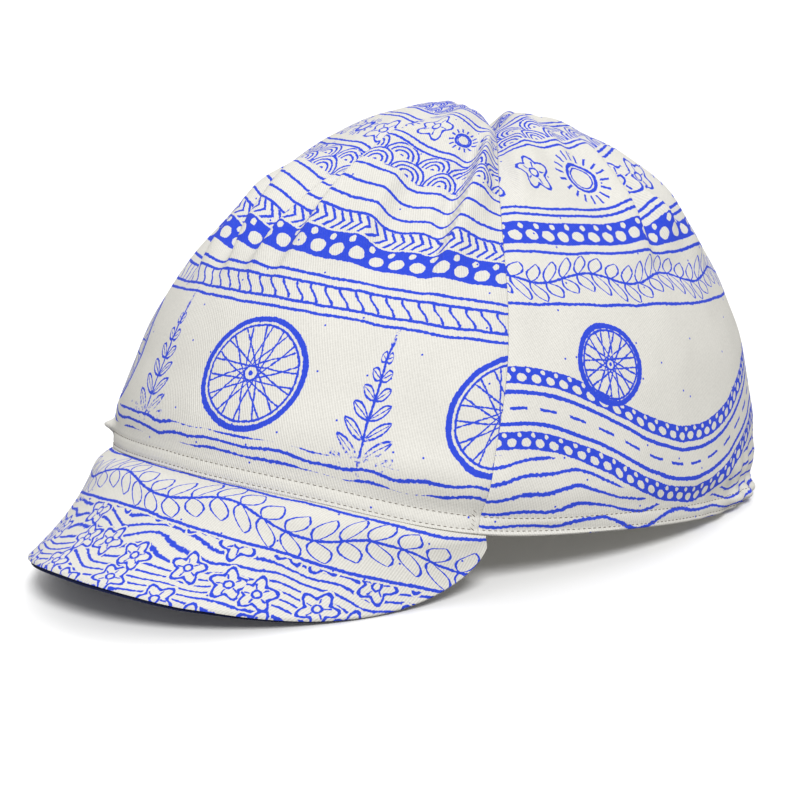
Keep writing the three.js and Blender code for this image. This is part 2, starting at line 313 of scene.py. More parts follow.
def srgb(hex_code):
    """An sRGB hex colour as linear red, green and blue."""
    channels = [int(hex_code[place:place + 2], 16) / 255 for place in (1, 3, 5)]
    return tuple(c / 12.92 if c <= 0.04045 else ((c + 0.055) / 1.055) ** 2.4 for c in channels)


def colour_prop(name, description, hex_code):
    """A colour property with an sRGB hex default."""
    return bpy.props.FloatVectorProperty(
        name=name, description=description, default=srgb(hex_code), subtype="COLOR", min=0, max=1)


def length_prop(name, description, metres):
    """A length property in metres."""
    return bpy.props.FloatProperty(
        name=name, description=description, default=metres, min=0, unit="LENGTH", precision=5)


class CapSizes(bpy.types.PropertyGroup):
    cloth: length_prop("Cloth", "Thickness of a panel's cloth", 1.3 * MM)
    hem_cloth: length_prop("Hem cloth", "Thickness of the turned-in hem", 2.4 * MM)
    hem_height: length_prop("Hem height", "Height of the turned-in hem", 7.2 * MM)
    peak_cover: length_prop("Peak cover", "Thickness of the peak's upper cover", 1.3 * MM)
    peak_lining: length_prop("Peak underside", "Thickness of the peak's lower cover", 0.7 * MM)
    stitch_length: length_prop("Stitch", "Length of one topstitch that shows", 1.1 * MM)
    stitch_pitch: length_prop("Stitch pitch", "Distance from one topstitch to the next", 1.7 * MM)
    thread: length_prop("Thread", "Thickness of the stitching thread", 0.22 * MM)
    ink_line: length_prop("Ink line", "Width of a main line of the print", 1.1 * MM)


class CapColours(bpy.types.PropertyGroup):
    cotton: colour_prop("Cotton", "Unbleached cotton twill", "#D3D1CA")
    ink: colour_prop("Ink", "Royal blue print", "#2040CA")
    underside: colour_prop("Underside", "Navy cotton under the peak", "#1B2142")
    thread: colour_prop("Thread", "Brown-grey topstitching", "#6E645B")
    floor: colour_prop("Floor", "Pale studio floor", "#FCFCFC")


def bell(offset):
    """A smooth bump: 1 at 0 and nearly 0 past 2."""
    return np.exp(-offset * offset)


def smooth(value, low, high):
    """0 below low and 1 above high, with a smooth way between."""
    share = np.clip((value - low) / (high - low), 0, 1)
    return share * share * (3 - 2 * share)


def wrapped(angle):
    """An angle in degrees, from -180 to 180."""
    return (angle + 180) % 360 - 180


def rim_height(angle):
    """Height of the rim's edge: a smooth curve through RIM_HEIGHTS, alike on both sides."""
    heights = np.array(RIM_HEIGHTS, float)
    last = len(heights) - 1
    steps = np.abs(wrapped(angle)) / RIM_STEP
    knot = np.clip(np.floor(steps).astype(int), 0, last - 1)
    share = steps - knot
    here = heights[knot]
    following = heights[knot + 1]
    slope_here = (following - heights[np.maximum(knot - 1, 0)]) / 2
    slope_next = (heights[np.minimum(knot + 2, last)] - here) / 2
    cubic = 2 * here - 2 * following + slope_here + slope_next
    square = -3 * here + 3 * following - 2 * slope_here - slope_next
    return cubic * share ** 3 + square * share ** 2 + slope_here * share + here


def crown_form(angle, level):
    """Points of the plain crown, before any fold, in mm."""
    angle, level = np.broadcast_arrays(np.asarray(angle, float), np.asarray(level, float))
    turn = np.radians(angle)
    climb = np.radians(90 * level)
    reach = np.clip(np.cos(climb), 0, 1) ** (2 / CROWN_POWER)
    rise = np.clip(np.sin(climb), 0, 1) ** (2 / CROWN_POWER)
    side = RIM_HALF_WIDTH * np.sin(turn) * (1 + RIM_CHEEK * np.cos(turn) ** 2)
    back = -RIM_HALF_LENGTH * np.cos(turn)
    return np.stack([
        side * reach,
        back * reach + APEX_BACK * rise ** APEX_BACK_POWER,
        rim_height(angle) * (1 - rise) + CROWN_HEIGHT * rise,
    ], -1)


def unit(vectors):
    """Vectors scaled to length 1."""
    return vectors / np.linalg.norm(vectors, axis=-1, keepdims=True)


def crown_normal(angle, level):
    """Outward normals of the plain crown."""
    around = crown_form(angle + FORM_STEP, level) - crown_form(angle - FORM_STEP, level)
    low = np.maximum(level - FORM_STEP, 0)
    up = crown_form(angle, level + FORM_STEP) - crown_form(angle, low)
    return unit(np.cross(around, up))


def fold_height(fold, points):
    """How far a fold lifts the cloth: a ridge with a shallow valley on its steeper side."""
    start = crown_form(*fold.start)
    along = crown_form(*fold.end) - start
    middle_level = (fold.start[1] + fold.end[1]) / 2
    across = unit(np.cross(along, crown_normal(fold.start[0], middle_level)))
    offset = points - start
    travel = offset @ along / (along @ along)
    side = offset @ across
    ends = smooth(travel, *FOLD_RISES) * (1 - smooth(travel, *FOLD_DIES))
    ridge = bell(side / np.where(side < 0, fold.right, fold.left))
    steep = min(fold.left, fold.right)
    valley_side = 1 if fold.left <= fold.right else -1
    valley = bell((side - valley_side * VALLEY_AT * steep) / (VALLEY_WIDTH * steep))
    return fold.height * ends * (ridge - VALLEY_SHARE * valley)


def folds_height(panel, level, points):
    """How far the folds lift a panel's cloth. Its own folds die out at its seams."""
    own = sum(fold_height(fold, points) for fold in FOLDS if fold.panel == panel.name)
    shared = sum(fold_height(fold, points) for fold in FOLDS if fold.panel == "all")
    return own * smooth(seam_distance(level, points), 0, SEAM_FREE_WIDTH) + shared


def seam_angle(seam, level):
    """Angle of a seam at a level: the front seams wander a little, the back one is straight."""
    drift = sum(row.degrees * bell((level - row.level) / row.spread) for row in SEAM_DRIFT)
    return seam + np.sign(seam) * drift * (abs(seam) == FRONT_SEAM)


def seam_distance(level, points):
    """Distance in mm from each point to the nearest seam at its own level."""
    seams = [seam_angle(seam, level) for seam in (FRONT_SEAM, -FRONT_SEAM, BACK_SEAM)]
    gaps = [np.linalg.norm(points - crown_form(seam, level), axis=-1) for seam in seams]
    return np.minimum.reduce(gaps)


def seam_relief(level, points):
    """The rolled edge and sunk line of a seam, its ridge of turned-in cloth and its top valley."""
    gap = seam_distance(level, points)
    rolled = np.clip(1 - gap / SEAM_ROLL, 0, 1)
    height = -SEAM_ROLL * (1 - np.sqrt(1 - rolled ** 2)) - SEAM_SINK * bell(gap / SEAM_SINK_WIDTH)
    ridge = bell((gap - SEAM_RIDGE_AT) / SEAM_RIDGE_AT) * smooth(level, *SEAM_RIDGE_LEVELS)
    height += SEAM_RIDGE * ridge
    valley = SEAM_VALLEY_DEPTH * smooth(level, *SEAM_VALLEY_LEVELS)
    return height - valley * np.exp(-gap / SEAM_VALLEY_WIDTH)


def hem_relief(angle, level):
    """The hem's rolled edge, its stitch grooves and the elastic's draw and gathers at the back."""
    climb = level * RIM_CLIMB
    back = (1 - np.cos(np.radians(angle))) / 2
    hem_level = bpy.context.scene.cap_sizes.hem_height / MM / RIM_CLIMB
    tuck = HEM_TUCK_FRONT + (HEM_TUCK_BACK - HEM_TUCK_FRONT) * back ** 2
    height = -tuck * (1 - smooth(level / hem_level, *HEM_TUCK_RUN))
    rolled = np.clip(1 - climb / HEM_ROLL, 0, 1)
    height -= HEM_ROLL * (1 - np.sqrt(1 - rolled ** 2))
    for row in STITCH_HEIGHTS:
        height -= STITCH_SINK * bell((climb - row) / STITCH_SINK_WIDTH)
    far = np.abs(wrapped(angle))
    full = smooth(far, GATHER_FROM, GATHER_FULL)
    wander = sum(sway.degrees * np.sin(np.radians(far * sway.rate + sway.phase))
                 for sway in GATHER_SWAYS)
    waves = np.sin(FULL_TURN * (far + wander) / GATHER_DEGREES)
    return height + GATHER_HEIGHT * full * waves * (1 - smooth(level, *GATHER_LEVELS))


def wrinkle_relief(points):
    """Small soft wrinkles from smooth noise, one layer for each row of WRINKLES."""
    height = np.zeros(len(points))
    for wrinkle in WRINKLES:
        scale = 1 / wrinkle.wavelength
        layer = [noise.noise(Vector(point) * scale) for point in points]
        height += wrinkle.height * np.array(layer)
    return height


def crown_points(panel, angle, level, wrinkled=True):
    """Points of a panel's outer face in mm, folds and all, in the cap's own frame."""
    points = crown_form(angle, level)
    apex_gap = np.linalg.norm(points - crown_form(0, 1), axis=-1)
    height = -APEX_DIMPLE_DEPTH * bell(apex_gap / APEX_DIMPLE_RADIUS)
    sway = APEX_PUCKER_SWAY * np.sin(np.radians(APEX_PUCKER_SWAYS * angle))
    puckers = np.cos(np.radians(APEX_PUCKERS * angle + sway))
    height += APEX_PUCKER_HEIGHT * puckers * bell((apex_gap - APEX_PUCKER_AT) / APEX_PUCKER_WIDTH)
    height += seam_relief(level, points) + hem_relief(angle, level)
    for swelling in SWELLINGS:
        turn = wrapped(angle - swelling.angle) / swelling.angle_spread
        rise = (level - swelling.level) / swelling.level_spread
        height += swelling.height * bell(turn) * bell(rise)
    height += folds_height(panel, level, points)
    if wrinkled:
        calm = smooth(level, *WRINKLE_LEVELS) * smooth(apex_gap, *WRINKLE_APEX_GAPS)
        height += calm * wrinkle_relief(points)
    return points + crown_normal(angle, level) * height[..., None]


def on_surface(points):
    """Points in mm in the cap's own frame, turned to how the cap lies, in metres."""
    tip = math.radians(REST_TIP)
    turned = np.stack([
        points[..., 0],
        points[..., 1] * math.cos(tip) + points[..., 2] * math.sin(tip),
        points[..., 2] * math.cos(tip) - points[..., 1] * math.sin(tip),
    ], -1)
    return (turned + np.array(RIM_CENTRE)) * MM


def level_at(share):
    """Level of a mesh row: fine rows in the hem zone, then even ones up to the apex."""
    hem_level = HEM_ZONE / RIM_CLIMB
    above = hem_level + (TOP_LEVEL - hem_level) * (share - HEM_ROWS_SHARE) / (1 - HEM_ROWS_SHARE)
    return np.where(share < HEM_ROWS_SHARE, hem_level * share / HEM_ROWS_SHARE, above)


def panel_angle(panel, share, level):
    """Angle of a mesh column, crowded towards the seams and short of them by half the gap."""
    crowded = share - COLUMN_CROWDING * np.sin(FULL_TURN * share) / FULL_TURN
    radius = RIM_HALF_WIDTH * np.cos(np.radians(90 * level)) + FORM_STEP
    inset = np.degrees(np.minimum(SEAM_GAP / 2 / radius, SEAM_INSET_MOST))
    start = seam_angle(panel.start, level) + inset
    end = seam_angle(panel.end, level) - inset
    return start + (end - start) * crowded


def lengths_along(line):
    """Length from the start of a line of points to each of them."""
    return np.concatenate([[0], np.cumsum(np.linalg.norm(np.diff(line, axis=0), axis=-1))])


def cloth_plan(panel, angle, level):
    """Where each point lies on the flat cloth in mm: along the rim from the middle, and up."""
    middle = (panel.start + panel.end) / 2
    across = np.zeros_like(angle)
    before = crown_form(np.full_like(angle, middle), level)
    for step in range(1, PLAN_STEPS + 1):
        after = crown_form(middle + (angle - middle) * step / PLAN_STEPS, level)
        across += np.linalg.norm(after - before, axis=-1)
        before = after
    at_rim = np.abs(np.radians(angle - middle)) * (RIM_HALF_LENGTH + RIM_HALF_WIDTH) / 2
    across = np.sign(angle - middle) * (across * (1 - PLAN_EVEN) + at_rim * PLAN_EVEN)
    steps = np.linspace(0, 1, PLAN_LINE_STEPS + 1)
    lengths = lengths_along(crown_form(middle, steps))
    taken_up = PRINT_SHIFT[panel.name] * folds_height(panel, level, crown_form(angle, level))
    return np.stack([across, np.interp(level, steps, lengths) - taken_up], -1)


def to_mesh(bm, name):
    """A new mesh from a bmesh, which is freed."""
    mesh = bpy.data.meshes.new(name)
    bm.to_mesh(mesh)
    bm.free()
    return mesh


def grid_mesh(name, columns, rows, place):
    """A mesh from a bmesh grid whose vertices place() moves, with its flat-cloth UV map.

    place() takes the shares across and up, and returns points in metres and plan points in mm.
    """
    bm = bmesh.new()
    bmesh.ops.create_grid(bm, x_segments=columns, y_segments=rows, size=0.5)
    mesh = to_mesh(bm, name)
    flat = np.empty(len(mesh.vertices) * 3)
    mesh.vertices.foreach_get("co", flat)
    shares = np.clip(flat.reshape(-1, 3)[:, :2] + 0.5, 0, 1)
    points, plan = place(shares[:, 0], shares[:, 1])
    mesh.vertices.foreach_set("co", points.ravel())
    corners = np.empty(len(mesh.loops), int)
    mesh.loops.foreach_get("vertex_index", corners)
    layer = mesh.uv_layers.new(name="cloth_plan")
    layer.data.foreach_set("uv", (plan[corners] / PLAN_SCALE).ravel())
    mesh.update()
    return mesh


def add_piece(name, mesh, materials):
    """An object for a finished mesh, with its materials, smooth and linked to the scene."""
    for material in materials:
        mesh.materials.append(material)
    mesh.shade_smooth()
    piece = bpy.data.objects.new(name, mesh)
    bpy.context.scene.collection.objects.link(piece)
    return piece


def thicken(piece, thickness, thin_share=1.0, thick_group=None, inner_slot=0):
    """Gives a sheet its wall inwards and applies it, with the thin share out of thick_group."""
    wall = piece.modifiers.new("wall", "SOLIDIFY")
    wall.thickness = thickness
    wall.offset = -1
    wall.use_rim = True
    wall.material_offset = inner_slot
    if thick_group:
        wall.vertex_group = thick_group
        wall.thickness_vertex_group = thin_share
    bpy.context.view_layer.update()
    graph = bpy.context.evaluated_depsgraph_get()
    walled = bpy.data.meshes.new_from_object(piece.evaluated_get(graph))
    piece.modifiers.clear()
    piece.vertex_groups.clear()
    thin = piece.data
    piece.data = walled
    walled.name = piece.name
    bpy.data.meshes.remove(thin)
    bm = bmesh.new()
    bm.from_mesh(walled)
    for vertex in bm.verts:
        vertex.co.z = max(vertex.co.z, 0)
    bm.to_mesh(walled)
    bm.free()
    walled.set_sharp_from_angle(angle=math.radians(SHARP_ANGLE))


def dress(piece, node):
    """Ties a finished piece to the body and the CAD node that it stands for."""
    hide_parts(node)
    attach(piece, "root")


# Print and cloth, as node trees. Lengths in them are mm on the flat cloth.
def by_math(operation, swapped=False):
    """A method that joins a wire and another value in one Math node."""
    def method(wire, other):
        values = [other, wire] if swapped else [wire, other]
        return put(wire.tree, "Math", values, operation=operation)
    return method


class Wire:
    """A number on its way along a node link, so that sums of wires read as plain sums."""

    def __init__(self, tree, socket):
        self.tree = tree
        self.socket = socket

    __add__ = by_math("ADD")
    __radd__ = by_math("ADD", swapped=True)
    __sub__ = by_math("SUBTRACT")
    __rsub__ = by_math("SUBTRACT", swapped=True)
    __mul__ = by_math("MULTIPLY")
    __rmul__ = by_math("MULTIPLY", swapped=True)
    __truediv__ = by_math("DIVIDE")
    __rtruediv__ = by_math("DIVIDE", swapped=True)

    def __abs__(self):
        return put(self.tree, "Math", [self], operation="ABSOLUTE")


def put(tree, kind, inputs=(), output=0, **settings):
    """Adds a node with its settings and inputs, links what is a wire, and returns one output."""
    node = tree.nodes.new("ShaderNode" + kind)
    for setting, value in settings.items():
        setattr(node, setting, value)
    for place, value in (inputs.items() if isinstance(inputs, dict) else enumerate(inputs)):
        if isinstance(value, Wire):
            tree.links.new(value.socket, node.inputs[place])
        else:
            node.inputs[place].default_value = value
    return Wire(tree, node.outputs[output]) if node.outputs else None


def least(*wires):
    """The smallest of some wires and numbers: one stroke beside another."""
    return reduce(lambda a, b: put(a.tree, "Math", [a, b], operation="MINIMUM"), wires)


def most(*wires):
    """The largest of some wires and numbers: a stroke cut off by an edge."""
    return reduce(lambda a, b: put(a.tree, "Math", [a, b], operation="MAXIMUM"), wires)


def repeated(wire, period):
    """A length folded into one period, from minus half to plus half of it."""
    return put(wire.tree, "Math", [wire, period / 2, -period / 2], operation="WRAP")


def wave(wire):
    """A wave along a wire in radians, from -1 to 1."""
    return put(wire.tree, "Math", [wire], operation="SINE")


def within(wire, low, high, strokes):
    """Strokes kept only where the wire is between low and high."""
    return most(strokes, low - wire, wire - high)


def polar(x, y):
    """Distance and direction of a place from the origin of x and y."""
    square = x * x + y * y
    reach = put(x.tree, "Math", [square], operation="SQRT")
    return reach, put(x.tree, "Math", [y, x], operation="ARCTAN2")


# Motifs. Each takes the place on the flat cloth and returns the distance in mm from its nearest
# stroke's edge, below 0 in the ink.
def ruled(up, rows, width):
    """Straight lines along the cloth at some heights."""
    return least(*(abs(up - row) - width / 2 for row in rows))


def rope(across, up, width, height, size, pitch):
    """A twisted rope between two edge lines."""
    rise = up - height
    edges = abs(abs(rise) - size / 2) - width * 0.4
    twist = repeated(across + rise * (pitch / size) + wave(rise * (FULL_TURN / size)) * 0.5, pitch)
    strands = within(rise, -size / 2, size / 2, abs(twist) * 0.7 - width * 0.28)
    return least(edges, strands)


def laced_wheel(across, up, width, centre, period, height, radius, spokes):
    """A row of wheels with a double tyre, laced spokes and a hub."""
    x = repeated(across - centre, period)
    reach, turn = polar(x, up - height)
    rim_radius = radius * 0.88
    hub_radius = radius * 0.13
    tyre = least(abs(reach - radius) - width * 0.75, abs(reach - rim_radius) - width * 0.32)
    hub = least(abs(reach - hub_radius) - width * 0.3, reach - radius * 0.045)
    lean = hub_radius / reach
    step = FULL_TURN / spokes
    laced = least(abs(repeated(turn + lean, step)), abs(repeated(turn - lean, step)))
    spoke = within(reach, hub_radius, rim_radius, laced * reach - width * 0.24)
    return least(tyre, hub, spoke)


def fern(across, up, width, centre, period, foot, height):
    """A row of upright sprigs with a leaf on each side of the stem at every step."""
    x = abs(repeated(across - centre, period))
    climb = (up - foot) / height
    length, step, breadth = 8.5 * (1.05 - climb), 5.4, 6.2
    along = repeated(up - foot - x * 0.85, step)
    share = x / length
    blade = breadth * share * (1 - share)
    leaf = least(abs(abs(along) - blade) - width * 0.32, abs(along) - width * 0.16)
    leaves = most(within(climb, 0.08, 1, leaf), x - length)
    return least(leaves, within(climb, 0, 1.02, x - width * 0.32))


def garland(across, up, width, height, sway, period, leaf_length):
    """A swaying stem with slanting leaves on both sides."""
    stem = up - height - wave(across * (FULL_TURN / period)) * sway
    out = abs(stem)
    lean = repeated(across - out * 0.75, period / 6)
    share = out / leaf_length
    blade = share * (1 - share) * (period / 6 * 1.5)
    leaf = most(abs(abs(lean) - blade) - width * 0.3, out - leaf_length)
    return least(out - width * 0.35, leaf)


def fans(across, up, width, foot, size):
    """Rows of fans drawn as arcs inside arcs."""
    row = put(across.tree, "Math", [(up - foot) / (size / 2)], operation="FLOOR")
    shift = row * (size / 2)
    reach = polar(repeated(across + shift, size), up - foot - shift)[0]
    arcs = least(*(abs(reach - size * share) - width * 0.34 for share in (0.47, 0.33, 0.2)))
    return least(arcs, reach - size * 0.06)


def contours(across, up, width, spacing, sway, wavelength):
    """Flowing lines, as of water or of ploughed ground."""
    place = put(across.tree, "CombineXYZ", [across / wavelength, up / wavelength])
    drift = put(across.tree, "TexNoise", {"Vector": place, "Scale": 1.0, "Detail": 1.0},
                noise_dimensions="2D")
    return abs(repeated(up + drift * sway, spacing)) * 0.8 - width * 0.3


def sun(across, up, width, centre, period, height, radius, rays):
    """A row of discs with rays."""
    reach, turn = polar(repeated(across - centre, period), up - height)
    ring = least(abs(reach - radius) - width * 0.5, abs(reach - radius * 0.75) - width * 0.25)
    ray = abs(repeated(turn, FULL_TURN / rays)) * reach - width * 0.34
    return least(ring, within(reach, radius * 1.3, radius * 1.9, ray))


def petals(reach, turn, radius, width):
    """Strokes of one five-petalled flower, and its edge."""
    edge = radius + wave(turn * 5) * radius * 0.24
    outline = abs(reach - edge) * 0.85 - width * 0.38
    eye = abs(reach - radius * 0.28) - width * 0.3
    veins = abs(wave(turn * 2.5)) * reach * 0.4 - width * 0.2
    return least(outline, eye, within(reach, radius * 0.4, radius * 0.8, veins)), edge


def posy(across, up, width, centre, period, height, radius):
    """A row of flowers."""
    reach, turn = polar(repeated(across - centre, period), up - height)
    return petals(reach, turn, radius, width)[0]


def road(across, up, width, height, sway, wavelength, breadth):
    """A winding road with a broken line down its middle."""
    middle = up - height - wave(across * (FULL_TURN / wavelength)) * sway
    edges = abs(abs(middle) - breadth / 2) - width * 0.5
    dash_half, dash_pitch = 2.6, 9
    dash = most(abs(middle) - width * 0.35, abs(repeated(across, dash_pitch)) - dash_half)
    verge = breadth / 2 + 4.4
    verges = (pebbles(across, middle, width, height=place, size=4.6, period=4.2)
              for place in (verge, -verge))
    return least(edges, dash, *verges), middle


def pebbles(across, up, width, height, size, period):
    """An inked band with two rows of bare pebbles."""
    rise = up - height
    large = polar(repeated(across, period), (rise + size * 0.12) * 1.25)[0] - size * 0.27
    small = polar(repeated(across + period / 2, period), rise - size * 0.3)[0] - size * 0.11
    band = abs(rise) - size / 2
    return most(band, width * 0.1 - large, width * 0.1 - small)


def herringbone(across, up, width, height, size, pitch):
    """A band of slanting strokes that meet in points."""
    rise = abs(up - height)
    strokes = abs(repeated(across + rise * 0.9, pitch)) * 0.75 - width * 0.36
    return most(strokes, rise - size / 2)


def flowers(across, up, width, spacing, radius):
    """Scattered five-petalled flowers. Also returns what is below 0 outside them."""
    place = put(across.tree, "CombineXYZ", [across / spacing, up / spacing])
    centre = put(across.tree, "TexVoronoi", {"Vector": place, "Scale": 1.0, "Randomness": 0.7},
                 output="Position", voronoi_dimensions="2D")
    away = put(across.tree, "VectorMath", [place, centre], operation="SUBTRACT")
    x, y = (put(across.tree, "SeparateXYZ", [away], output=axis) * spacing for axis in (0, 1))
    reach, turn = polar(x, y)
    spin = put(across.tree, "SeparateXYZ", [centre], output=0) * 4
    strokes, edge = petals(reach, turn + spin, radius, width)
    return strokes, edge + width - reach


def front_print(across, up, width):
    """Front panel: wheels and ferns, a rope, a pebble border, lines, fans and flowers."""
    wheels = laced_wheel(
        across, up, width, centre=24, period=72, height=30, radius=15.5, spokes=14)
    plants = fern(across, up, width, centre=-12, period=72, foot=13, height=33)
    ground = within(up, 7.8, 13, contours(across, up, width, spacing=2.7, sway=6, wavelength=22))
    border = rope(across, up, width, height=55, size=6, pitch=4.6)
    heights = (49.4, 60.6, 80.2, 84.6, 90.2, 95.8, 110.6, 113.2, 131, 133.4, 139)
    lines = ruled(up, heights, width * 0.8)
    stones = pebbles(across, up, width, height=69.6, size=8, period=6.4)
    chevrons = herringbone(across, up, width, height=77, size=5.6, pitch=2.9)
    clouds = within(up, 98, 110, fans(across, up, width, foot=98.4, size=12.2))
    blooms = posy(across, up, width, centre=4, period=27, height=122, radius=5.4)
    suns = sun(across, up, width, centre=17.5, period=27, height=122, radius=3.1, rays=14)
    top = within(up, 140, 175, fans(across, up, width, foot=140, size=8.4))
    return least(wheels, plants, ground, border, lines, stones, chevrons, clouds, blooms, suns, top)


def side_print(across, up, width):
    """Side panels: a road through fields, wheels, borders, suns and flowers, fans above."""
    way, middle = road(across, up, width, height=25, sway=8.5, wavelength=118, breadth=8)
    fields = most(contours(across, up, width, spacing=3.6, sway=16, wavelength=34), middle + 12)
    wheels = laced_wheel(
        across, up, width, centre=59, period=118, height=45, radius=10.5, spokes=12)
    leaves = garland(across, up, width, height=69, sway=1.6, period=34, leaf_length=5.4)
    lines = ruled(up, (61.4, 76.6, 88.6, 90.8, 113.4, 115.6, 129.4, 131.6, 138), width * 0.8)
    stones = pebbles(across, up, width, height=82.6, size=7, period=5.6)
    suns = sun(across, up, width, centre=20, period=60, height=102, radius=5, rays=18)
    large = posy(across, up, width, centre=40, period=60, height=101, radius=5.6)
    small = posy(across, up, width, centre=0, period=60, height=103, radius=4.8)
    clouds = within(up, 117, 128.5, fans(across, up, width, foot=117, size=11.8))
    top = within(up, 139.5, 175, fans(across, up, width, foot=140, size=8.4))
    return least(way, fields, wheels, leaves, lines, stones, suns, large, small, clouds, top)


def peak_print(across, up, width):
    """Peak: a leafy stem along the root, then flowers on flowing ground."""
    leaves = garland(across, up, width, height=9, sway=2.2, period=46, leaf_length=5.8)
    lines = ruled(up, (1.4, 16.4), width * 0.8)
    blooms, clear = flowers(across, up, width, spacing=12.5, radius=4)
    ground = most(contours(across, up, width, spacing=2.9, sway=12, wavelength=24), clear)
    return least(leaves, lines, most(least(blooms, ground), 17.4 - up))


def twill(across, up):
    """Height of a twill weave: slanting ribs broken by the crossing threads. It also sets the ribs'
    painted shade.
    """
    along, aside = TWILL_LEAN
    ribs = wave((across * along + up * aside) * (FULL_TURN / TWILL_RIB))
    crossings = wave((up * along - across * aside) * (FULL_TURN / TWILL_CROSSING))
    return ribs * (1 - TWILL_CROSSING_SHARE) + crossings * TWILL_CROSSING_SHARE


def new_material(name):
    """A material with an empty node tree."""
    material = bpy.data.materials.new(name)
    material.use_nodes = True
    material.node_tree.nodes.clear()
    return material, material.node_tree


def cloth_material(name, colour, draw_print=None, ink=None):
    """Washed cotton twill, with an inked print where draw_print is given.

    Woven cotton gives the eye no gloss: a dull face with fine slanting ribs, with painted shade that
    darkens their grooves and lightens their crests, thicker and thinner yarns, a slightly uneven
    tone and a trace of fuzz at the edges.
    """
    material, tree = new_material(name)
    plan = put(tree, "UVMap", uv_map="cloth_plan")
    place = put(tree, "VectorMath", {0: plan, "Scale": float(PLAN_SCALE)}, operation="SCALE")
    across, up = (put(tree, "SeparateXYZ", [place], output=axis) for axis in (0, 1))
    weave = twill(across, up)
    slubs = put(
        tree, "TexNoise", {"Vector": place, "Scale": SLUB_SCALE, "Detail": 3.0, "Roughness": 0.7},
        noise_dimensions="2D")
    blotches = put(tree, "TexNoise", {"Vector": place, "Scale": BLOTCH_SCALE, "Detail": 2.0},
                   noise_dimensions="2D")
    # Painted shade in the twill's rib grooves and painted light on their crests, with the cotton's
    # own uneven tone from slubs and blotches.
    shade = 1 + weave * RIB_PAINTED_SHADE + (slubs - 0.5) * SLUB_SHADE + (blotches - 0.5) * BLOTCH_SHADE
    shade = put(tree, "CombineXYZ", [shade, shade, shade])
    surface = put(tree, "Mix", {"Factor": 1.0, "A": (*colour, 1), "B": shade},
                  output="Result", data_type="RGBA", blend_type="MULTIPLY")
    if draw_print:
        surface = inked(tree, place, surface, draw_print, ink, slubs)
    height = weave * RIB_RISE + slubs * SLUB_RISE
    normal = put(tree, "Bump", {"Strength": 0.5, "Distance": CLOTH_BUMP * MM, "Height": height})
    shader = put(tree, "BsdfPrincipled", {
        "Base Color": surface, "Roughness": 0.95, "Specular IOR Level": 0.08,
        "Sheen Weight": 0.03, "Sheen Roughness": 0.6, "Normal": normal})
    put(tree, "OutputMaterial", {"Surface": shader})
    return material


def inked(tree, place, surface, draw_print, ink, slubs):
    """The cloth's colour with the print over it: hand-drawn wobble, ragged edges and specks."""
    width = bpy.context.scene.cap_sizes.ink_line / MM
    drift = put(tree, "TexNoise", {"Vector": place, "Scale": INK_WANDER_SCALE, "Detail": 2.0},
                output="Color", noise_dimensions="2D")
    centred = put(tree, "VectorMath", [drift, (0.5, 0.5, 0.5)], operation="SUBTRACT")
    moved = put(tree, "VectorMath", [centred, (INK_WANDER,) * 3, place], operation="MULTIPLY_ADD")
    across, up = (put(tree, "SeparateXYZ", [moved], output=axis) for axis in (0, 1))
    ragged = put(tree, "TexNoise", {"Vector": place, "Scale": INK_RAGGED_SCALE, "Detail": 2.0},
                 noise_dimensions="2D")
    strokes = draw_print(across, up, width) + (ragged - 0.5) * INK_RAGGED
    speck = put(tree, "TexVoronoi", {"Vector": place, "Scale": SPECK_SCALE},
                voronoi_dimensions="2D")
    strokes = least(strokes, speck / SPECK_SCALE - SPECK_RADIUS)
    mask = put(tree, "MapRange", {"Value": strokes, "From Min": INK_EDGE, "From Max": -INK_EDGE},
               interpolation_type="SMOOTHSTEP")
    strength = mask * (1 - slubs * INK_THIN)
    return put(tree, "Mix", {"Factor": strength, "A": surface, "B": (*ink, 1)},
               output="Result", data_type="RGBA")


def thread_material(colour):
    """Spun polyester thread: dull, with a little gloss, and its fine twist painted into the colour
    as bands of painted shade.
    """
    material, tree = new_material("spun polyester thread")
    where = put(tree, "TexCoord", output="Object")
    twist = put(tree, "TexWave", {"Vector": where, "Scale": TWIST_SCALE, "Distortion": 1.0})
    # A copy of the thread's colour in painted shade, for the grooves of its twist.
    twist_shaded_colour = [channel * TWIST_PAINTED_SHADE for channel in colour]
    painted_twist_colour = put(tree, "Mix", {"Factor": twist, "A": (*twist_shaded_colour, 1), "B": (*colour, 1)},
               output="Result", data_type="RGBA")
    shader = put(tree, "BsdfPrincipled", {
        "Base Color": painted_twist_colour, "Roughness": 0.7, "Specular IOR Level": 0.3})
    put(tree, "OutputMaterial", {"Surface": shader})
    return material


def floor_material(colour):
    """Matt studio paper: pale, with a trace of tooth."""
    material, tree = new_material("matt studio paper")
    where = put(tree, "TexCoord", output="Object")
    tooth = put(tree, "TexNoise", {"Vector": where, "Scale": TOOTH_SCALE, "Detail": 2.0})
    normal = put(tree, "Bump", {"Strength": 0.02, "Distance": 0.1 * MM, "Height": tooth})
    shader = put(tree, "BsdfPrincipled", {
        "Base Color": (*colour, 1), "Roughness": 1.0, "Specular IOR Level": 0.0, "Normal": normal})
    put(tree, "OutputMaterial", {"Surface": shader})
    return material


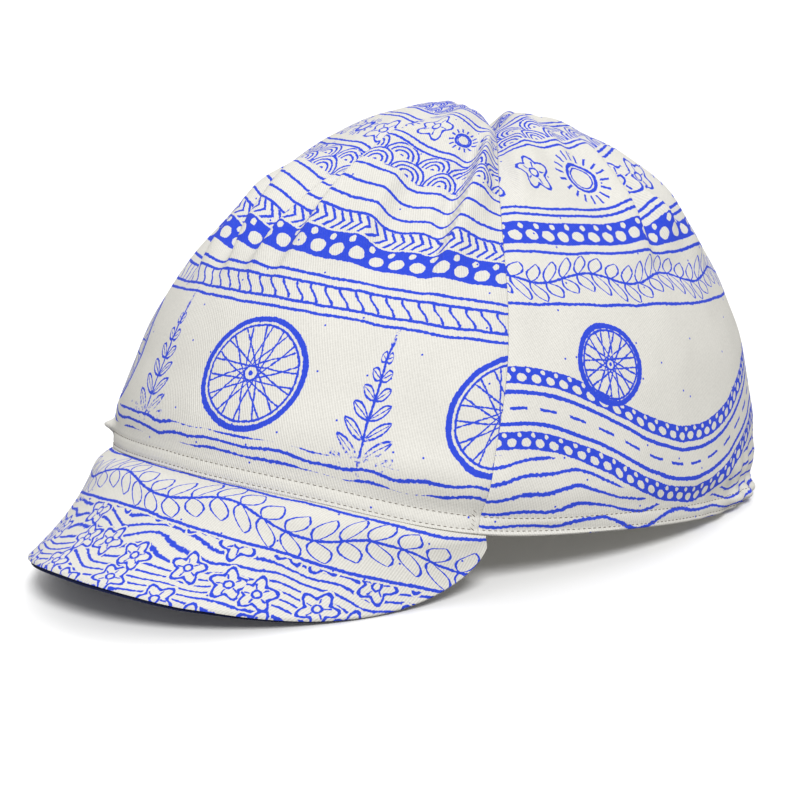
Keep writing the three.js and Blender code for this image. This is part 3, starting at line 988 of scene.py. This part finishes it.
def build_panel(panel, materials):
    """One crown panel: a fine grid laid on the folded crown, walled, thicker at its hem."""
    sizes = bpy.context.scene.cap_sizes

    def place(across, up):
        level = level_at(up)
        angle = panel_angle(panel, across, level)
        return on_surface(crown_points(panel, angle, level)), cloth_plan(panel, angle, level)

    mesh = grid_mesh(panel.node, PANEL_COLUMNS, PANEL_ROWS, place)
    piece = add_piece("crown_" + panel.name, mesh, materials)
    hem = piece.vertex_groups.new(name="hem")
    layer = mesh.uv_layers["cloth_plan"].data
    hem_plan = sizes.hem_height / MM / PLAN_SCALE
    in_hem = {loop.vertex_index for loop in mesh.loops if layer[loop.index].uv.y < hem_plan}
    hem.add(list(in_hem), 1.0, "REPLACE")
    thicken(piece, sizes.hem_cloth, sizes.cloth / sizes.hem_cloth, "hem", inner_slot=1)
    dress(piece, panel.node)


def peak_slope(reach):
    """Slope of the peak's middle line at a share of its length, in degrees below the horizontal."""
    reaches, slopes = zip(*PEAK_SLOPES)
    return np.interp(reach, reaches, slopes)


def peak_points(side, reach):
    """Points of the peak's upper face in mm, for sides from -1 to 1 and reaches from 0 to 1."""
    steps = PEAK_SLOPE_STEPS
    corner = np.abs(side * PEAK_CORNER) ** PEAK_OUTLINE_POWER
    length = PEAK_LENGTH * (1 - corner) ** PEAK_OUTLINE_ROUND
    heading = np.radians(side * PEAK_FAN_ANGLE)
    middles = (np.arange(steps) + 0.5) / steps
    slope = np.radians(peak_slope(middles)[:, None] + PEAK_SIDE_SLOPE * side ** 2)
    spot = reach * steps
    low = np.minimum(np.floor(spot).astype(int), steps - 1)
    share = spot - low
    columns = np.arange(len(side))

    def run(rates):
        """A rate along the peak, summed up to each reach in mm."""
        sums = np.vstack([np.zeros_like(side), np.cumsum(rates, axis=0)]) / steps
        return length * (sums[low, columns] * (1 - share) + sums[low + 1, columns] * share)

    angle = side * PEAK_HALF_ANGLE
    out_of_rim = PEAK_ROOT_SWELL * bell(angle / PEAK_ROOT_SPREAD) - HEM_TUCK_FRONT
    root = crown_form(angle, 0) + crown_normal(angle, 0) * out_of_rim[:, None]
    tongue = PEAK_TONGUE * (1 - reach) ** PEAK_TONGUE_POWER * (1 - side ** 2)
    forward = run(np.cos(slope)) - tongue
    return np.stack([
        root[:, 0] + forward * np.sin(heading),
        root[:, 1] - forward * np.cos(heading),
        root[:, 2] + PEAK_ROOT_LIFT * (1 - side ** 2) - run(np.sin(slope)),
    ], -1), length


def build_peak_layer(name, node, depth, thickness, material):
    """One cover of the peak: its upper face at a depth below the peak's top, rolled at the edge."""

    def place(across, up):
        side = np.sin(math.pi * (across - 0.5))
        points, length = peak_points(side, up)
        low, high = np.maximum(up - FORM_STEP, 0), np.minimum(up + FORM_STEP, 1)
        inner, outer = np.maximum(side - FORM_STEP, -1), np.minimum(side + FORM_STEP, 1)
        ahead = peak_points(side, high)[0] - peak_points(side, low)[0]
        beside = peak_points(outer, up)[0] - peak_points(inner, up)[0]
        normal = unit(np.cross(ahead, beside))
        edge = (1 - up) * length
        rolled = np.clip(1 - edge / PEAK_EDGE_ROLL, 0, 1)
        sink = depth + PEAK_EDGE_ROLL * (1 - np.sqrt(1 - rolled ** 2))
        sink -= smooth(up, 0, PEAK_CALM_REACH) * wrinkle_relief(points)
        plan = np.stack([np.radians(side * PEAK_HALF_ANGLE) * RIM_HALF_LENGTH, up * length], -1)
        return on_surface(points - normal * sink[:, None]), plan

    mesh = grid_mesh(name, PEAK_COLUMNS, PEAK_ROWS, place)
    piece = add_piece(name, mesh, [material])
    bm = bmesh.new()
    bm.from_mesh(mesh)
    bmesh.ops.reverse_faces(bm, faces=bm.faces)
    bm.to_mesh(mesh)
    bm.free()
    thicken(piece, thickness)
    dress(piece, node)


def stitch_row(bm, panel, height, sizes):
    """Topstitches along a panel's hem at one height above its edge, as small closed threads."""
    first, last = panel.start + STITCH_ROW_INSET, panel.end - STITCH_ROW_INSET
    angles = np.linspace(first, last, STITCH_ROW_STEPS)
    levels = np.full_like(angles, height / RIM_CLIMB)
    line = crown_points(panel, angles, levels, wrinkled=False)
    above = crown_points(panel, angles, levels + STITCH_UP, wrinkled=False)
    lengths = lengths_along(line)
    pitch = sizes.stitch_pitch / MM
    half = sizes.stitch_length / MM / 2
    count = int(lengths[-1] / pitch)
    middles = (np.arange(count) + 0.5) * lengths[-1] / count

    def spots(row, places):
        """Spots along a row of points, where the cap lies."""
        spots_mm = [np.interp(places, lengths, row[:, axis]) for axis in range(3)]
        return [Vector(spot) for spot in on_surface(np.stack(spots_mm, -1))]

    starts, stops = spots(line, middles - half), spots(line, middles + half)
    for start, stop, high in zip(starts, stops, spots(above, middles)):
        add_stitch(bm, start, stop, high, sizes.thread)


def add_stitch(bm, start, stop, high, thickness):
    """One stitch from start to stop: a slim rounded thread. High is a spot of the cloth above it."""
    middle = (start + stop) / 2
    along = (stop - start) / 2
    outward = along.cross(high - middle).normalized()
    beside = outward.cross(along).normalized() * thickness / 2
    lift = outward * thickness / 2
    turn = Matrix((along, beside, lift)).transposed().to_4x4()
    turn.translation = middle + lift * STITCH_LIFT
    bmesh.ops.create_uvsphere(bm, u_segments=6, v_segments=4, radius=1, matrix=turn)


def seam_foot_stitches(bm, sizes):
    """Slanting stitches that cross each front seam where the hem rows meet."""
    for side in (1, -1):
        for step in range(FOOT_STITCHES):
            low = FOOT_STITCH_LOW + step * FOOT_STITCH_RISE
            angles = np.array([side * (FRONT_SEAM - spot.degrees_in) for spot in FOOT_STITCH])
            levels = np.array([low + spot.rise for spot in FOOT_STITCH]) / RIM_CLIMB
            points = on_surface(crown_points(PANELS[0], angles, levels, wrinkled=False))
            add_stitch(bm, *(Vector(point) for point in points), sizes.thread)


class CAP_OT_crown(bpy.types.Operator):
    """Build the three printed crown panels"""
    bl_idname = "cap.crown"
    bl_label = "Crown panels"

    def execute(self, context):
        colours = context.scene.cap_colours
        inside = cloth_material("raw back of cotton twill", tuple(colours.cotton))
        prints = {"front": front_print, "left": side_print, "right": side_print}
        for panel in PANELS:
            material = cloth_material(
                f"printed cotton twill, {panel.name}", tuple(colours.cotton),
                prints[panel.name], tuple(colours.ink))
            build_panel(panel, [material, inside])
        return {"FINISHED"}


class CAP_OT_peak(bpy.types.Operator):
    """Build the printed cover of the peak and its dark underside"""
    bl_idname = "cap.peak"
    bl_label = "Peak"

    def execute(self, context):
        sizes = context.scene.cap_sizes
        colours = context.scene.cap_colours
        printed = cloth_material(
            "printed cotton twill, peak", tuple(colours.cotton), peak_print, tuple(colours.ink))
        navy = cloth_material("navy cotton twill", tuple(colours.underside))
        build_peak_layer("peak_cover", "peak_top", 0, sizes.peak_cover, printed)
        below = sizes.peak_cover / MM + LAYER_GAP
        build_peak_layer(
            "peak_lining", "peak_underside", below, sizes.peak_lining, navy)
        return {"FINISHED"}


class CAP_OT_stitching(bpy.types.Operator):
    """Run the two rows of topstitching round the hem"""
    bl_idname = "cap.stitching"
    bl_label = "Hem stitching"

    def execute(self, context):
        sizes = context.scene.cap_sizes
        material = thread_material(tuple(context.scene.cap_colours.thread))
        for panel in PANELS:
            bm = bmesh.new()
            for height in STITCH_HEIGHTS:
                stitch_row(bm, panel, height, sizes)
            if panel.name == "front":
                seam_foot_stitches(bm, sizes)
            name = "hem_stitches_" + panel.name
            piece = add_piece(name, to_mesh(bm, name), [material])
            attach(piece, "root")
        return {"FINISHED"}


def add_floor(colour):
    """A plain floor that curves up into a low wall all round, as in a photo studio."""
    bm = bmesh.new()
    bends = [math.radians(degrees) for degrees in FLOOR_BEND_DEGREES]
    points = [bm.verts.new((0, 0, 0))]
    for bend in bends:
        out, rise = math.sin(bend), 1 - math.cos(bend)
        points.append(bm.verts.new((FLOOR_FLAT + FLOOR_BEND * out, 0, FLOOR_BEND * rise)))
    edges = [bm.edges.new(pair) for pair in zip(points, points[1:])]
    bmesh.ops.spin(bm, geom=points + edges, cent=(0, 0, 0), axis=(0, 0, 1), angle=FULL_TURN,
                   steps=FLOOR_SIDES, use_merge=True)
    bmesh.ops.remove_doubles(bm, verts=bm.verts, dist=FLOOR_MERGE)
    bmesh.ops.recalc_face_normals(bm, faces=bm.faces)
    if sum(face.normal.z for face in bm.faces) < 0:
        bmesh.ops.reverse_faces(bm, faces=bm.faces)
    floor = add_piece("floor", to_mesh(bm, "floor"), [floor_material(colour)])
    floor.visible_diffuse = False


def direction(azimuth, elevation):
    """The way to a place in the sky, by its azimuth from the front and elevation in degrees."""
    turn, climb = math.radians(azimuth), math.radians(elevation)
    level = math.cos(climb)
    return Vector((math.sin(turn) * level, -math.cos(turn) * level, math.sin(climb)))


def add_sun(light):
    """A wide soft light from far off."""
    data = bpy.data.lights.new(light.name, "SUN")
    data.angle = math.radians(light.width)
    data.energy = light.strength
    lamp = bpy.data.objects.new(light.name, data)
    away = direction(light.azimuth, light.elevation)
    lamp.location = away
    lamp.rotation_euler = away.to_track_quat("Z", "Y").to_euler()
    bpy.context.scene.collection.objects.link(lamp)


def studio_world():
    """Soft light from all round, bright overhead and dim below, as from a ceiling of screens."""
    world = bpy.data.worlds.new("studio")
    world.use_nodes = True
    tree = world.node_tree
    tree.nodes.clear()
    where = put(tree, "TexCoord", output="Generated")
    height = put(tree, "SeparateXYZ", [where], output=2)
    strength = put(tree, "MapRange", {"Value": height, "From Min": -1.0, "From Max": 1.0,
                                      "To Min": WORLD_BELOW, "To Max": WORLD_OVERHEAD})
    light = put(tree, "Background", {"Color": (1, 1, 1, 1), "Strength": strength})
    put(tree, "OutputWorld", {"Surface": light})
    return world


def add_camera():
    """The camera, at the photograph's angle to the cap."""
    back = direction(CAMERA_AZIMUTH, CAMERA_ELEVATION)
    azimuth, roll = math.radians(CAMERA_AZIMUTH), math.radians(CAMERA_ROLL)
    level_right = Vector((math.cos(azimuth), math.sin(azimuth), 0))
    level_up = back.cross(level_right)
    right = level_right * math.cos(roll) + level_up * math.sin(roll)
    up = back.cross(right)
    data = bpy.data.cameras.new("camera")
    data.lens = CAMERA_LENS
    camera = bpy.data.objects.new("camera", data)
    turn = Matrix((right, up, back)).transposed().to_4x4()
    turn.translation = Vector(CAMERA_AIM) + back * CAMERA_DISTANCE
    camera.matrix_world = turn
    bpy.context.scene.collection.objects.link(camera)
    bpy.context.scene.camera = camera


class CAP_OT_stage(bpy.types.Operator):
    """Set the pale floor, the soft lights and the camera"""
    bl_idname = "cap.stage"
    bl_label = "Stage"

    def execute(self, context):
        add_floor(tuple(context.scene.cap_colours.floor))
        for light in SUNS:
            add_sun(light)
        context.scene.world = studio_world()
        context.scene.view_settings.view_transform = "Standard"
        add_camera()
        return {"FINISHED"}


class CAP_PT_panel(bpy.types.Panel):
    """Sizes, colours and build steps of the cap"""
    bl_idname = "CAP_PT_panel"
    bl_label = "Cycling cap"
    bl_space_type = "VIEW_3D"
    bl_region_type = "UI"
    bl_category = "Cap"

    def draw(self, context):
        for group in (context.scene.cap_sizes, context.scene.cap_colours):
            column = self.layout.column()
            for name in group.__annotations__:
                column.prop(group, name)
        for step in BUILD_STEPS:
            self.layout.operator(step.bl_idname)


BUILD_STEPS = (CAP_OT_crown, CAP_OT_peak, CAP_OT_stitching, CAP_OT_stage)
CLASSES = (CapSizes, CapColours, *BUILD_STEPS, CAP_PT_panel)


def register():
    for cls in CLASSES:
        bpy.utils.register_class(cls)
    bpy.types.Scene.cap_sizes = bpy.props.PointerProperty(type=CapSizes)
    bpy.types.Scene.cap_colours = bpy.props.PointerProperty(type=CapColours)


def unregister():
    del bpy.types.Scene.cap_colours
    del bpy.types.Scene.cap_sizes
    for cls in reversed(CLASSES):
        bpy.utils.unregister_class(cls)


def main():
    register()
    bpy.ops.cap.crown()
    bpy.ops.cap.peak()
    bpy.ops.cap.stitching()
    bpy.ops.cap.stage()


if __name__ == "__main__":
    main()
